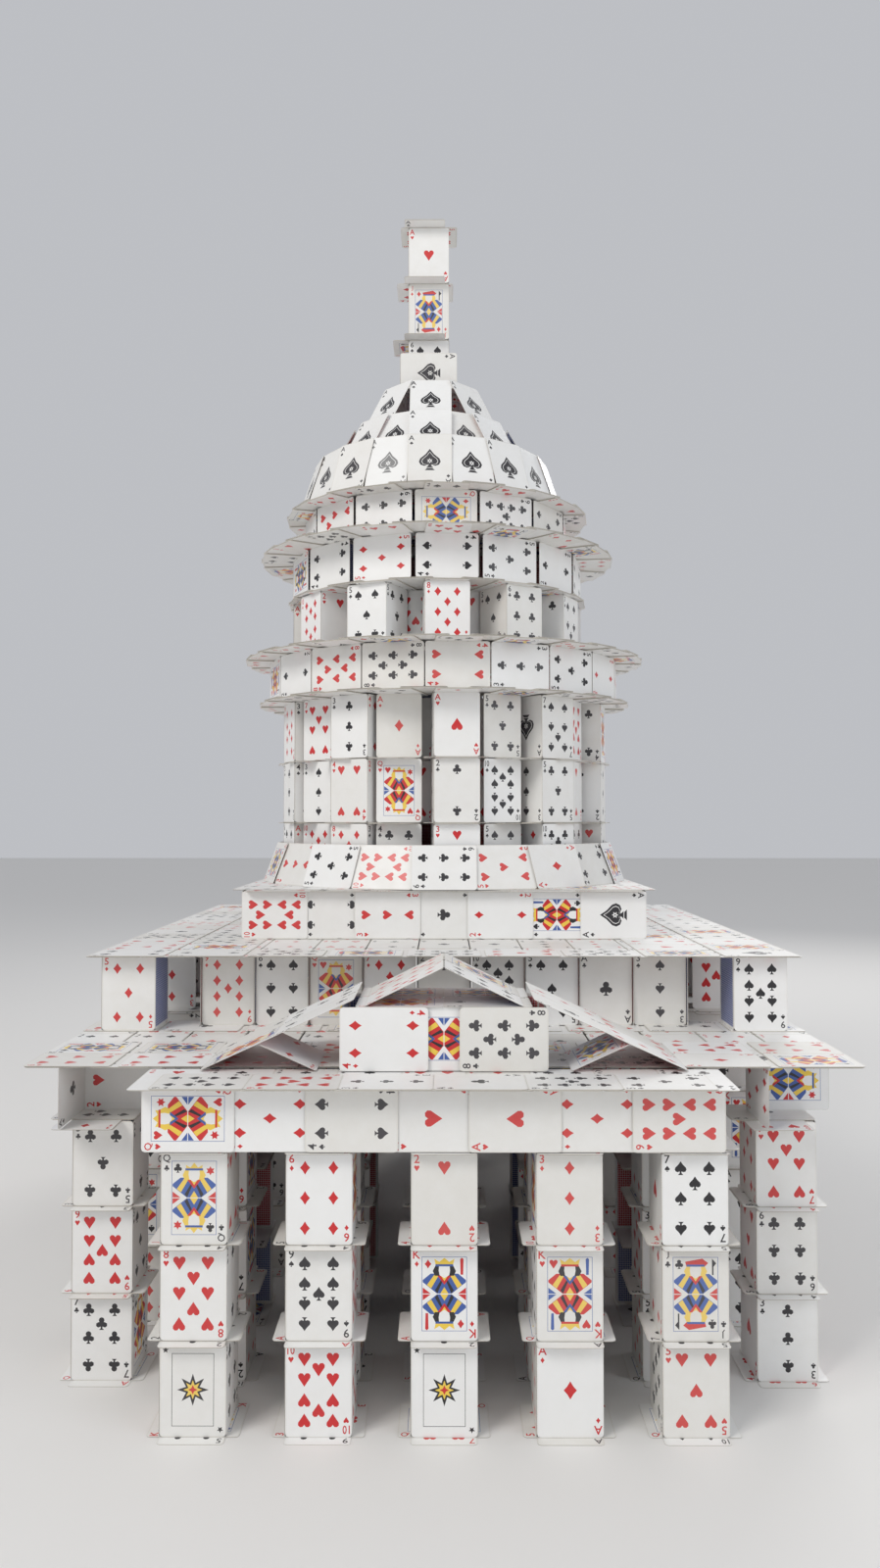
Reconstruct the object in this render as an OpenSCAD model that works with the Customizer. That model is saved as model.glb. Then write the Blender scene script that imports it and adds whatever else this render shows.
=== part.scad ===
// A public building with a portico, wings and a domed tower, built from loose playing cards.
// Nothing is glued, slotted or folded: every card stands on its edge or lies flat on the cards below.
// The flats and rings are piles of cards squared on each other; each pile is one solid here.
// X runs to the right, Y from the portico to the back, Z up; the origin is under the middle.

/* [Card] */
// Short side of one card
card_w = 63; // [61.5:0.25:63.5]
// Long side of one card
card_h = 88; // [86.5:0.25:89]
// Thickness of one card
card_t = 0.3; // [0.25:0.01:0.36]
// Radius of the rounded corners
corner_r = 3.5; // [2:0.25:5]
// Clearance between cards that stand or lie side by side
gap = 0.2; // [0.15:0.01:0.3]

/* [Ground plan] */
// Distance between column centres along the front
bay_x = 119; // [116:0.5:124]
// Distance between column rows from front to back
bay_y = 139.4; // [132:0.2:144]
// Front plane of the portico columns to the wing columns
portico_depth = 107; // [104:0.5:112]
// Columns across the portico
portico_columns = 5; // [3:2:5]
// Rows of columns behind the portico
hall_rows = 7; // [7:1:8]
// Overhang of the portico roof in front of its columns
portico_eaves = 34; // [26:1:40]

/* [Piles] */
// Cards squared on each other in each flat between two storeys of columns
column_pile = 3; // [1:1:4]
// The same in each lying card of a roof
roof_pile = 3; // [1:1:4]
// The same in the rings of the tower
ring_pile = 6; // [3:1:8]
// The same in the floors of the dome
dome_pile = 3; // [1:1:4]

/* [Roofs] */
// Half the width of the roof over the wings
wing_roof_half = 426; // [420:1:430]
// Front edge of the wing roof behind the portico plane
wing_roof_front = 62; // [56:1:68]
// Half the width of the main roof
main_roof_half = 418; // [412:1:424]
// Front edge of the main roof behind the portico plane
main_roof_front = 235; // [230:1:240]
// Front wall of the upper storey behind the portico plane
upper_wall_front = 290; // [286:1:294]

/* [Pediment] */
// Eaves of the pediment from its middle
pediment_half = 242; // [238:1:246]
// Front of the pediment behind the portico plane
pediment_front = 40; // [36:1:44]
// Slope of the small gable on the attic box
gable_pitch = 26; // [22:1:30]

/* [Tower] */
// Half the side of the square plinth
plinth_half = 270; // [264:1:276]
// Outer radius of the colonnade
colonnade_r = 250; // [246:1:254]
// Box columns around the colonnade
colonnade_columns = 10; // [10:1:10]
// How far outside the colonnade the leaning skirt cards stand
skirt_reach = 27; // [24:1:30]
// Outer radii of the five flat rings, from the lowest
ring_r_1 = 287; // [282:1:292]
// Second ring, the widest
ring_r_2 = 308; // [303:1:313]
// Third ring
ring_r_3 = 232; // [230:1:236]
// Fourth ring
ring_r_4 = 274; // [270:1:278]
// Fifth ring, under the dome
ring_r_5 = 235; // [230:1:240]
// Radius of the first band of cards
band_r_1 = 268; // [264:1:270]
// Second band, of open cells
band_r_2 = 224; // [222:1:228]
// Third band
band_r_3 = 222; // [220:1:226]
// Fourth band
band_r_4 = 202; // [198:1:206]

/* [Dome] */
// Foot radius of the lowest row of leaning cards
dome_r_1 = 208; // [204:1:212]
// Lean of the lowest row from upright
dome_lean_1 = 18.5; // [16:0.5:20]
// Foot radius of the second row
dome_r_2 = 162; // [158:1:166]
// Lean of the second row
dome_lean_2 = 29.5; // [27:0.5:31]
// Foot radius of the third row
dome_r_3 = 115; // [113:1:118]
// Lean of the third row
dome_lean_3 = 30.5; // [28:0.5:32]

/* [Settling] */
// Sideways shift of the portico roof and the wall under it
shift_portico = -10; // [-14:1:0]
// Sideways shift of the flats on the wing columns
shift_wings = -12; // [-14:1:0]
// Sideways shift of the upper bands, as the tower has settled
shift_bands = -11; // [-14:1:0]
// Sideways shift of the dome
shift_dome = -20; // [-22:1:0]
// Sideways shift of the spire
shift_spire = -24; // [-26:1:0]

/* [Hidden] */
$fn = 48;

paper = "whitesmoke";
column_deck = column_pile * card_t;
roof_deck = roof_pile * card_t;
ring_deck = ring_pile * card_t;
dome_deck = dome_pile * card_t;
column_half = card_w / 2 + card_t / 2 + gap;
seat = 0.02;
lap = 4 * card_t;

// Floor levels: the top of the two layers of flats that each storey stands on
floor_1 = 2 * card_t;
floor_2 = floor_1 + card_h + 2 * column_deck;
floor_3 = floor_2 + card_h + 2 * column_deck;
floor_4 = floor_3 + card_h + 2 * column_deck;
floor_5 = floor_4 + card_w + 2 * roof_deck;
floor_6 = floor_5 + card_h + 2 * roof_deck;
floor_7 = floor_6 + card_w + 2 * roof_deck;
floor_8 = floor_7 + card_h + 2 * column_deck;
floor_9 = floor_8 + card_h + 2 * column_deck;
floor_10 = floor_9 + card_h + 2 * ring_deck;
floor_11 = floor_10 + card_w + 2 * ring_deck;
floor_12 = floor_11 + card_h + 2 * ring_deck;
floor_13 = floor_12 + card_w + 2 * ring_deck;
floor_14 = floor_13 + card_w + 2 * ring_deck;
dome_storey = card_w + 2 * dome_deck;
floor_15 = floor_14 + dome_storey;
floor_16 = floor_15 + dome_storey;
floor_17 = floor_16 + dome_storey;
spire_storey = card_h + 2 * column_deck;

// Plan: depths are measured from the front plane of the portico columns
first_row = portico_depth + card_w / 2;
back_edge = first_row + (hall_rows - 1) * bay_y + column_half + 24;
front_plane = -(back_edge - portico_eaves) / 2;
row_y = [for (i = [0:hall_rows - 1]) front_plane + first_row + i * bay_y];
side_bays = 3;
portico_side = (portico_columns - 1) / 2;
tower_y = row_y[4];
drum_r = colonnade_r - column_half;
drum_tees = 6;
drum_tee_r = drum_r * 0.85;
skirt_r = colonnade_r + skirt_reach;
turn_first = 4;

// One card, lying with its middle on the origin and its long side along Y
module card_outline() {
    square([card_w - 2 * corner_r, card_h], center = true);
    square([card_w, card_h - 2 * corner_r], center = true);
    for (x = [-1, 1], y = [-1, 1])
        translate([x * (card_w / 2 - corner_r), y * (card_h / 2 - corner_r)]) circle(r = corner_r);
}

module card(pile = 1) {
    linear_extrude(height = pile * card_t) card_outline();
}

// A card, or a pile of cards squared on each other, lying flat with its underside at z
module lying(x, y, z, turn = 0, pile = 1) {
    translate([x, y, z]) rotate(turn) card(pile);
}

// A card standing on an edge at z, facing the front before it is turned
module standing(x, y, z, turn = 0, upright = true) {
    translate([x, y, z + (upright ? card_h : card_w) / 2])
        rotate([90, 0, turn]) rotate(upright ? 0 : 90)
            translate([0, 0, -card_t / 2]) card();
}

// Four standing cards in a pinwheel, each with its end on the face of the next
module cell(x, y, z, turn = 0, upright = true, side = card_w, cards = 4) {
    long = upright ? card_w : card_h;
    for (k = [0:cards - 1])
        translate([x, y, 0]) rotate(turn + 90 * k)
            standing(long / 2 - side / 2 + card_t / 2 + gap, -side / 2, z, 0, upright);
}

// The same without the card that faces the back
module open_cell(x, y, z) {
    cell(x, y, z, -90, true, card_w, 3);
}

// Two standing cards in a tee, the hidden props inside the building
module tee(x, y, z, turn = 0, upright = true) {
    long = upright ? card_w : card_h;
    translate([x, y, 0]) rotate(turn) {
        standing(0, -long / 4, z, 0, upright);
        standing(0, -long / 4 + card_t / 2 + gap + long / 2, z, 90, upright);
    }
}

// A centred row of lying cards, their long sides along Y or, turned, along X
module lying_row(count, step, y, z, turned, pile) {
    for (i = [0:count - 1]) lying((i - (count - 1) / 2) * step, y, z, turned ? 90 : 0, pile);
}

// A centred wall of standing cards that lap, every other one set back
module lapped_wall(count, half, y, z, setback, upright = false) {
    long = upright ? card_w : card_h;
    step = (2 * half - long) / (count - 1);
    for (i = [0:count - 1])
        standing(-half + long / 2 + i * step, y + (i % 2) * setback, z, 0, upright);
}

// Standing cards on a circle, facing outwards; swing turns each one like a shingle
module ring_standing(count, r, z, first = 0, swing = 0, upright = true) {
    for (i = [0:count - 1]) rotate(first + i * 360 / count) standing(0, -r, z, swing, upright);
}

// Standing cards that point at the axis, their outer edge at radius r
module ring_fins(count, r, z, first = 0, upright = true) {
    for (i = [0:count - 1])
        rotate(first + i * 360 / count)
            standing(0, -r + (upright ? card_w : card_h) / 2, z, 90, upright);
}

// Lying cards that point at the axis: as many as fit side by side at their inner ends
function ring_count(r) = floor(180 / atan((card_w / 2 + gap) / (r - card_h)));

module ring_lying(r, z, half_step, pile) {
    count = ring_count(r);
    for (i = [0:count - 1])
        rotate(turn_first + (i + (half_step ? 0.5 : 0)) * 360 / count)
            lying(0, -r + card_h / 2, z, 0, pile);
}

// As many standing cards as fit on a circle edge to edge
function standing_count(r, upright = false) =
    floor(180 / atan(((upright ? card_w : card_h) / 2 + gap) / (r - card_t)));

// Cards that stand on a circle and lean in towards the axis, every other one tucked behind
module ring_leaning(count, r, z, lean, tuck = 0, first = 0, upright = true) {
    for (i = [0:count - 1])
        rotate(first + i * 360 / count)
            translate([0, -r + (i % 2) * tuck, z + seat + card_t / 2 * sin(lean)])
                rotate([-lean, 0, 0]) standing(0, 0, 0, 0, upright);
}

// Columns: boxes on the outside of the building, tees inside, a ring of tees under the tower
function is_outer(i, j) = abs(i) == side_bays || j == 0 || j == hall_rows - 1;
function outward(i, j) = j == hall_rows - 1 ? 90 : i > 0 ? 0 : 180;
function is_open(i, j) = abs(i) <= 1 && j >= 3 && j <= 5;

module portico_columns_at(z) {
    color(paper)
        for (i = [-portico_side:portico_side]) cell(i * bay_x, front_plane + card_w / 2, z);
}

module hall_columns_at(z) {
    color(paper) {
        for (i = [-side_bays:side_bays], j = [0:hall_rows - 1])
            if (!is_open(i, j)) {
                if (j == 0) cell(i * bay_x, row_y[j], z);
                else if (is_outer(i, j)) cell(i * bay_x, row_y[j], z, outward(i, j), true, card_w, 3);
                else tee(i * bay_x, row_y[j], z, (i + j) % 2 == 0 ? 0 : 180);
            }
        drum_at(z);
    }
}

module drum_at(z, upright = true) {
    translate([0, tower_y, 0])
        for (i = [0:drum_tees - 1])
            rotate(i * 360 / drum_tees) tee(0, -drum_tee_r, z, 0, upright);
}

// Flats on the columns: one layer along the depth, and on the front rows one across it;
// where the second is left out, the first is twice as thick
module at_columns(z, turned, pile) {
    for (i = [-portico_side:portico_side])
        lying(i * bay_x, front_plane + card_w / 2, z, turned ? 90 : 0, pile);
    for (i = [-side_bays:side_bays], j = [0:hall_rows - 1])
        if (is_outer(i, j) && (!turned || j == 0)) {
            on_wing = z > floor_3 && j == 0 && abs(i) == side_bays;
            ahead = on_wing && !turned ? wing_flat_ahead : 0;
            lying(i * bay_x + (on_wing ? shift_wings : 0), row_y[j] - ahead, z,
                  turned ? 90 : 0, j == 0 ? pile : 2 * pile);
        }
}

module at_inner_columns(z, pile) {
    for (i = [1 - side_bays:side_bays - 1], j = [1:hall_rows - 2])
        if (!is_open(i, j)) lying(i * bay_x, row_y[j], z, 0, 2 * pile);
    inner_ring_flats(z, 2 * pile);
}

module inner_ring_flats(z, pile) {
    translate([0, tower_y, 0])
        for (i = [0:drum_tees - 1])
            rotate(i * 360 / drum_tees) lying(0, -drum_tee_r, z, 90, pile);
}

module ground_flats_lower() {
    color(paper) {
        at_columns(0, false, 1);
        at_inner_columns(0, 1);
    }
}

module ground_flats_upper() {
    color(paper) at_columns(card_t, true, 1);
}

// Flats between the storeys of the columns; on the wings the top ones reach out to the front
levels = [floor_2, floor_3, floor_4];
wing_flat_ahead = 24;

module column_flats_lower() {
    color(paper)
        for (z = levels) {
            at_columns(z - 2 * column_deck, false, column_pile);
            at_inner_columns(z - 2 * column_deck, column_pile);
        }
}

module column_flats_upper() {
    color(paper)
        for (z = levels) at_columns(z - column_deck, true, column_pile);
}

module portico_columns_storey_1() { portico_columns_at(floor_1); }
module portico_columns_storey_2() { portico_columns_at(floor_2); }
module portico_columns_storey_3() { portico_columns_at(floor_3); }
module hall_columns_storey_1() { hall_columns_at(floor_1); }
module hall_columns_storey_2() { hall_columns_at(floor_2); }
module hall_columns_storey_3() { hall_columns_at(floor_3); }

// Low storey: a lapped front over the portico, fins behind it, and on each wing a fin that
// ends a wall set back behind it
entablature_overhang = 6;
entablature_ahead = 10;
entablature_half = portico_side * bay_x + column_half + entablature_overhang;
entablature_y = front_plane - entablature_ahead;
entablature_cards_across = 7;
wing_fin_front = 65;
wing_fin_outer = 390;
wing_fin_inner = 328;
wing_wall_back = 147;

module entablature_cards() {
    fin_aside = 24;
    end_fin_y = entablature_y + 3 * lap + card_h / 2;
    color(paper)
        translate([shift_portico, 0, 0]) {
            lapped_wall(entablature_cards_across, entablature_half, entablature_y, floor_4, lap);
            for (side = [-1, 1])
                standing(side * (entablature_half - 1), end_fin_y, floor_4, 90, false);
            for (i = [-portico_side:portico_side], side = [-1, 1])
                standing(i * bay_x + side * fin_aside, front_plane + 2 + card_h / 2, floor_4, 90, false);
        }
}

module mezzanine_cells() {
    color(paper) {
        for (i = [-side_bays:side_bays], j = [0:hall_rows - 1])
            if (!is_open(i, j) && !(j == 0 && abs(i) == side_bays))
                tee(i * bay_x, row_y[j], floor_4, j == 0 || j == hall_rows - 1 ? 180 : 0, false);
        for (fin_x = [-wing_fin_outer, wing_fin_inner]) {
            standing(fin_x, front_plane + wing_fin_front + card_h / 2, floor_4, 90, false);
            standing(fin_x + card_t / 2 + gap + card_h / 2, front_plane + wing_wall_back, floor_4, 0, false);
        }
        drum_at(floor_4, false);
    }
}

// Roofs: a layer along the depth below, a layer across on top
portico_roof_y = front_plane - portico_eaves;
roof_pitch_x = card_w + gap;
roof_pitch_y = card_h + gap;
portico_roof_along = 9;
portico_roof_across = 6;
wing_roof_along = 13;
wing_roof_across = 9;
wing_step_along = 2 * wing_roof_half / wing_roof_along;
wing_step_across = (2 * wing_roof_half - card_h) / (wing_roof_across - 1);
wing_roof_y = front_plane + wing_roof_front;

module portico_roof_lower() {
    color(paper)
        translate([shift_portico, 0, 0])
            lying_row(portico_roof_along, roof_pitch_x, portico_roof_y + card_h / 2,
                      floor_5 - 2 * roof_deck, false, roof_pile);
}

module portico_roof_upper() {
    color(paper)
        translate([shift_portico, 0, 0])
            lying_row(portico_roof_across, roof_pitch_y, portico_roof_y + card_w / 2,
                      floor_5 - roof_deck, true, roof_pile);
}

module wing_roof_lower() {
    z = floor_5 - 2 * roof_deck;
    color(paper) {
        for (k = [0:2])
            lying_row(wing_roof_along, wing_step_along, wing_roof_y + card_h / 2 + k * roof_pitch_y,
                      z, false, roof_pile);
        for (i = [-side_bays:side_bays], j = [2:hall_rows - 1])
            if (!is_open(i, j)) lying(i * bay_x, row_y[j], z, 0, is_outer(i, j) ? roof_pile : 2 * roof_pile);
        inner_ring_flats(z, 2 * roof_pile);
    }
}

module wing_roof_upper() {
    z = floor_5 - roof_deck;
    color(paper) {
        for (k = [0, 1, 3])
            lying_row(wing_roof_across, wing_step_across, wing_roof_y + card_w / 2 + k * roof_pitch_x,
                      z, true, roof_pile);
        for (i = [-side_bays:side_bays], j = [2:hall_rows - 1])
            if (is_outer(i, j)) lying(i * bay_x, row_y[j], z, 90, roof_pile);
    }
}

// Attic box on the portico roof, two cards wide, with a third set back between them
attic_y = front_plane + pediment_front;
attic_side = card_w / 4;
attic_half = attic_side - card_t + card_h;
attic_middle_set_back = 3;
attic_end_in = 2;

module attic_box() {
    color(paper) {
        for (side = [-1, 1]) {
            standing(side * (attic_half - card_h / 2), attic_y, floor_5, 0, false);
            standing(side * (attic_half - attic_end_in), attic_y + attic_end_in / 2 + card_h / 2,
                     floor_5, 90, false);
            standing(side * (attic_half - card_h / 2), attic_y + attic_end_in + card_h, floor_5, 0, false);
        }
        standing(0, attic_y + attic_middle_set_back, floor_5, 0, false);
    }
}

module attic_flats() {
    color(paper)
        for (side = [-1, 1], row = [0, 1])
            lying(side * (card_h + gap) / 2, attic_y + card_w / 2 + row * roof_pitch_x,
                  floor_5 + card_w, 90);
}

// Pediment: on each side two lengths of two cards, lapped, from the roof up over the attic box
attic_top = card_w + card_t;
slope_pitch = atan(card_w / (pediment_half - attic_half - card_t));
slope_lap = 8;
slope_rows = 2;

// A card on a slope that falls to the side: its lower end at a length along the slope, and
// its underside at a height above it
module sloping(side, row, along, above) {
    mirror([side < 0 ? 1 : 0, 0, 0])
        translate([pediment_half, attic_y + card_w / 2 + row * (card_w + gap), floor_5])
            rotate([0, slope_pitch, 0])
                translate([-along - card_h / 2, 0, above]) rotate(90) card();
}

module pediment_lower_slopes() {
    color(paper)
        for (side = [-1, 1], row = [0:slope_rows - 1]) sloping(side, row, 0, seat + card_t);
}

module pediment_upper_slopes() {
    color(paper)
        for (side = [-1, 1], row = [0:slope_rows - 1])
            sloping(side, row, card_h - slope_lap, seat + 2 * card_t);
}

module pediment_props() {
    prop_x = pediment_half - 2 * card_w * cos(slope_pitch) - 4 * gap;
    color(paper)
        for (side = [-1, 1])
            mirror([side < 0 ? 1 : 0, 0, 0])
                translate([prop_x, attic_y + card_h / 2, floor_5 + seat])
                    rotate([0, -slope_pitch, 0]) translate([card_w / 2, 0, 0]) card();
}

module pediment_gable() {
    half = card_h * cos(gable_pitch) + card_t;
    color(paper)
        for (side = [-1, 1], row = [0:slope_rows - 1])
            mirror([side < 0 ? 1 : 0, 0, 0])
                translate([half, attic_y + card_w / 2 + row * (card_w + gap), floor_5 + attic_top + seat])
                    rotate([0, gable_pitch, 0]) translate([-card_h / 2, 0, 0]) rotate(90) card();
}

// Upper storey: walls of upright cards with a fin in every joint, box columns at the corners
upper_wall_out = 28;
upper_wall_out_back = 12;
corner_out = 16;
corner_ahead = 35;
corner_behind = 5;
fin_set_in = 5;
upper_pitch = card_w + 8 * card_t;
upper_front = front_plane + upper_wall_front;
upper_back = row_y[hall_rows - 1] + upper_wall_out_back;
upper_side_x = side_bays * bay_x + upper_wall_out;
upper_front_cards = 9;
upper_back_cards = 10;
upper_side_cards = floor((upper_back - upper_front - 3 * card_w) / upper_pitch);
corner_x = side_bays * bay_x + corner_out;

module finned_wall(count, fin, every = 1) {
    for (i = [0:count - 1]) standing((i - (count - 1) / 2) * upper_pitch, 0, floor_5, 0);
    for (i = [0:every:count]) standing((i - count / 2) * upper_pitch, fin, floor_5, 90);
}

module upper_storey_walls() {
    fin = card_w / 2 - fin_set_in;
    color(paper) {
        translate([0, upper_front, 0]) finned_wall(upper_front_cards, fin);
        translate([0, upper_back, 0]) finned_wall(upper_back_cards, -fin, 2);
        for (side = [-1, 1])
            translate([side * upper_side_x, (upper_front + upper_back) / 2, 0])
                rotate(90) finned_wall(upper_side_cards, side * fin, 2);
    }
}

module upper_storey_cells() {
    color(paper) {
        for (side = [-1, 1]) {
            cell(side * corner_x, upper_front - corner_ahead + card_w / 2, floor_5);
            cell(side * corner_x, upper_back + corner_behind - card_w / 2, floor_5);
        }
        for (i = [1 - side_bays:side_bays - 1], j = [2:hall_rows - 2])
            if (!is_open(i, j)) tee(i * bay_x, row_y[j], floor_5, 0);
        drum_at(floor_5);
    }
}

// Main roof, open in the middle under the tower
main_along = 13;
main_across = 9;
main_step_along = (2 * main_roof_half + 2) / main_along;
main_step_across = 2 * main_roof_half / main_across;
main_rows = 9;
main_roof_y = front_plane + main_roof_front;

module main_roof_lower() {
    middle = (main_along - 1) / 2;
    color(paper)
        for (k = [0:main_rows - 1], i = [-middle:middle])
            if (abs(i) > 2 || k < 3 || k > main_rows - 3)
                lying(i * main_step_along, main_roof_y + card_h / 2 + k * roof_pitch_y,
                      floor_6 - 2 * roof_deck, 0, roof_pile);
}

module main_roof_upper() {
    rows = floor(main_rows * card_h / roof_pitch_x);
    middle = (main_across - 1) / 2;
    color(paper)
        for (k = [0:rows - 1], i = [-middle:middle])
            if (k == 0 || k == 3 || k > rows - 3 || abs(i) > 2 || (abs(i) == 2 && k > 3))
                lying(i * main_step_across, main_roof_y + card_w / 2 + k * roof_pitch_x,
                      floor_6 - roof_deck, 90, roof_pile);
}

// Plinth: four lapped walls around a ring of tees that carry the colonnade
module around_tower(shift = 0) {
    translate([shift, tower_y, 0]) children();
}

plinth_cards_across = 7;
plinth_side_in = 3;

module plinth_walls() {
    color(paper)
        around_tower()
            for (k = [0:3])
                rotate(90 * k)
                    lapped_wall(plinth_cards_across, plinth_half - (k % 2) * plinth_side_in,
                                -plinth_half, floor_6, lap);
}

tee_inset = 13;
corner_tee_inset = 78;

module plinth_cells() {
    under_columns = drum_r - tee_inset;
    in_corners = plinth_half * sqrt(2) - corner_tee_inset;
    color(paper)
        around_tower() {
            for (i = [0:colonnade_columns - 1])
                rotate(turn_first + i * 360 / colonnade_columns) tee(0, -under_columns, floor_6, 0, false);
            for (k = [0:3]) rotate(45 + 90 * k) tee(0, -in_corners, floor_6, 0, false);
        }
}

module plinth_roof(z, turned) {
    across = turned ? 6 : 9;
    along = turned ? 9 : 6;
    step_x = (turned ? card_h : card_w) + gap;
    step_y = (turned ? card_w : card_h) + gap;
    for (i = [0:across - 1], j = [0:along - 1]) {
        x = (i - (across - 1) / 2) * step_x;
        y = (j - (along - 1) / 2) * step_y;
        if (norm([x, y]) > colonnade_r - card_h) lying(x, y, z, turned ? 90 : 0, roof_pile);
    }
}

module plinth_roof_lower() {
    color(paper) around_tower() plinth_roof(floor_7 - 2 * roof_deck, true);
}

module plinth_roof_upper() {
    color(paper) around_tower() plinth_roof(floor_7 - roof_deck, false);
}

// The skirt leans in until it is just clear of the corners of the columns behind it
module plinth_skirt() {
    tuck = 2 * lap;
    lean = asin((skirt_r - norm([colonnade_r, column_half]) - tuck - 3 * gap) / card_w);
    count = 2 * ceil(standing_count(skirt_r) / 2);
    color(paper)
        around_tower() ring_leaning(count, skirt_r, floor_7, lean, tuck, 0, false);
}

// Colonnade: box columns with a turned panel and a panel set back in every bay
module colonnade_columns_at(z) {
    color(paper)
        around_tower()
            for (i = [0:colonnade_columns - 1])
                rotate(turn_first + i * 360 / colonnade_columns) open_cell(0, -drum_r, z);
}

module colonnade_columns_storey_1() { colonnade_columns_at(floor_7); }
module colonnade_columns_storey_2() { colonnade_columns_at(floor_8); }
module colonnade_columns_storey_3() { colonnade_columns_at(floor_9); }

// In every bay a panel outside, turned a little, and at the front another one set back
panel_out = 14;
panel_in = 5;
panel_turn = 16.5;
panel_swing = 12;

module colonnade_panels() {
    pitch = 360 / colonnade_columns;
    turned_r = drum_r + panel_out;
    back_r = drum_r - card_w / 2 - panel_in;
    color(paper)
        around_tower() {
            for (z = [floor_7, floor_8, floor_9])
                ring_standing(colonnade_columns, turned_r, z, turn_first + panel_turn, panel_swing);
            for (z = [floor_8, floor_9], i = [0:colonnade_columns - 1])
                if (cos(turn_first + (i + 0.5) * pitch) > 0)
                    rotate(turn_first + (i + 0.5) * pitch) standing(0, -back_r, z - column_deck);
        }
}

flat_overhang = 8;

module colonnade_flats_lower() {
    color(paper)
        around_tower()
            for (z = [floor_8, floor_9])
                ring_lying(colonnade_r + flat_overhang, z - 2 * column_deck, false, column_pile);
}

module colonnade_flats_upper() {
    color(paper)
        around_tower()
            for (z = [floor_8, floor_9], i = [0:colonnade_columns - 1])
                rotate(turn_first + i * 360 / colonnade_columns)
                    lying(0, -drum_r, z - column_deck, 90, column_pile);
}

// Rings: two layers of lying piles, the upper one half a card round
module ring_lower(r, z) { ring_lying(r, z - 2 * ring_deck, false, ring_pile); }
module ring_upper(r, z) { ring_lying(r, z - ring_deck, true, ring_pile); }
module ring_1_lower() { color(paper) around_tower() ring_lower(ring_r_1, floor_10); }
module ring_1_upper() { color(paper) around_tower() ring_upper(ring_r_1, floor_10); }
module ring_2_lower() { color(paper) around_tower() ring_lower(ring_r_2, floor_11); }
module ring_2_upper() { color(paper) around_tower() ring_upper(ring_r_2, floor_11); }
module ring_3_lower() { color(paper) around_tower(shift_bands) ring_lower(ring_r_3, floor_12); }
module ring_3_upper() { color(paper) around_tower(shift_bands) ring_upper(ring_r_3, floor_12); }
module ring_4_lower() { color(paper) around_tower(shift_bands) ring_lower(ring_r_4, floor_13); }
module ring_4_upper() { color(paper) around_tower(shift_bands) ring_upper(ring_r_4, floor_13); }
module ring_5_lower() { color(paper) around_tower(shift_bands) ring_lower(ring_r_5, floor_14); }
module ring_5_upper() { color(paper) around_tower(shift_bands) ring_upper(ring_r_5, floor_14); }

// A band: cards edge to edge around, with fins that point at the axis behind every other one
module closed_band(r, z) {
    count = standing_count(r);
    fins = floor(count / 2);
    ring_standing(count, r, z, turn_first, 0, false);
    ring_fins(fins, r - 1, z, turn_first + 180 / count, false);
}

module band_1() { color(paper) around_tower() closed_band(band_r_1, floor_10); }
module band_3() { color(paper) around_tower(shift_bands) closed_band(band_r_3, floor_12); }
module band_4() { color(paper) around_tower(shift_bands) closed_band(band_r_4, floor_13); }

module band_2() {
    count = 12;
    color(paper)
        around_tower(shift_bands)
            for (i = [0:count - 1]) {
                rotate(turn_first + i * 360 / count) open_cell(0, -band_r_2 + column_half, floor_11);
                rotate(turn_first + (i + 0.5) * 360 / count)
                    standing(0, -band_r_2 + card_w + 5, floor_11);
            }
}

// Dome: three rows of leaning cards around a core of low storeys, every other card of a row
// tucked behind its neighbours
dome_tuck_1 = 1.6;
dome_tuck_2 = 4.2;
dome_tuck_3 = 3.2;

module dome_row_1() {
    color(paper) around_tower(shift_dome) ring_leaning(20, dome_r_1, floor_14, dome_lean_1, dome_tuck_1);
}

module dome_row_2() {
    color(paper) around_tower(shift_dome) ring_leaning(16, dome_r_2, floor_15, dome_lean_2, dome_tuck_2);
}

module dome_row_3() {
    color(paper)
        around_tower(shift_dome) ring_leaning(8, dome_r_3, floor_16, dome_lean_3, dome_tuck_3, 45);
}

// How far out the corners of the flats may reach behind a row that leans in over them
function behind(r, lean, tuck) = r - tuck - dome_storey * tan(lean) - card_t / cos(lean) - gap;
function reach(r) = sqrt(pow(r, 2) - pow(card_w / 2, 2));
dome_flat_r_1 = reach(behind(dome_r_1, dome_lean_1, dome_tuck_1));
dome_flat_r_2 = reach(behind(dome_r_2, dome_lean_2, dome_tuck_2));
core_share_1 = 0.8;
core_share_2 = 0.9;
core_side = card_h - 16;

module dome_core() {
    color(paper)
        around_tower(shift_dome) {
            core_1 = dome_flat_r_1 * core_share_1;
            core_2 = dome_flat_r_2 * core_share_2;
            ring_standing(standing_count(core_1), core_1, floor_14, turn_first, 0, false);
            ring_fins(4, core_1 - 2, floor_14, turn_first, false);
            ring_standing(standing_count(core_2), core_2, floor_15, turn_first, 0, false);
            ring_fins(4, core_2 - 2, floor_15, turn_first, false);
            cell(0, 0, floor_16, 0, false, core_side);
        }
}

// The flats on the spire reach over to the left, the lowest the most, and out to the front
spire_flat_aside = 6;
spire_flat_ahead = 10;

module dome_flats_lower() {
    color(paper) {
        around_tower(shift_dome) {
            ring_lying(dome_flat_r_1, floor_15 - 2 * dome_deck, false, dome_pile);
            ring_lying(dome_flat_r_2, floor_16 - 2 * dome_deck, false, dome_pile);
            lying_row(2, card_w + gap, 0, floor_17 - 2 * dome_deck, false, dome_pile);
        }
        around_tower(shift_spire)
            for (n = [1:3])
                lying(-(3 - n) * spire_flat_aside, 0, floor_17 + n * spire_storey - 2 * column_deck,
                      90, column_pile);
    }
}

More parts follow.
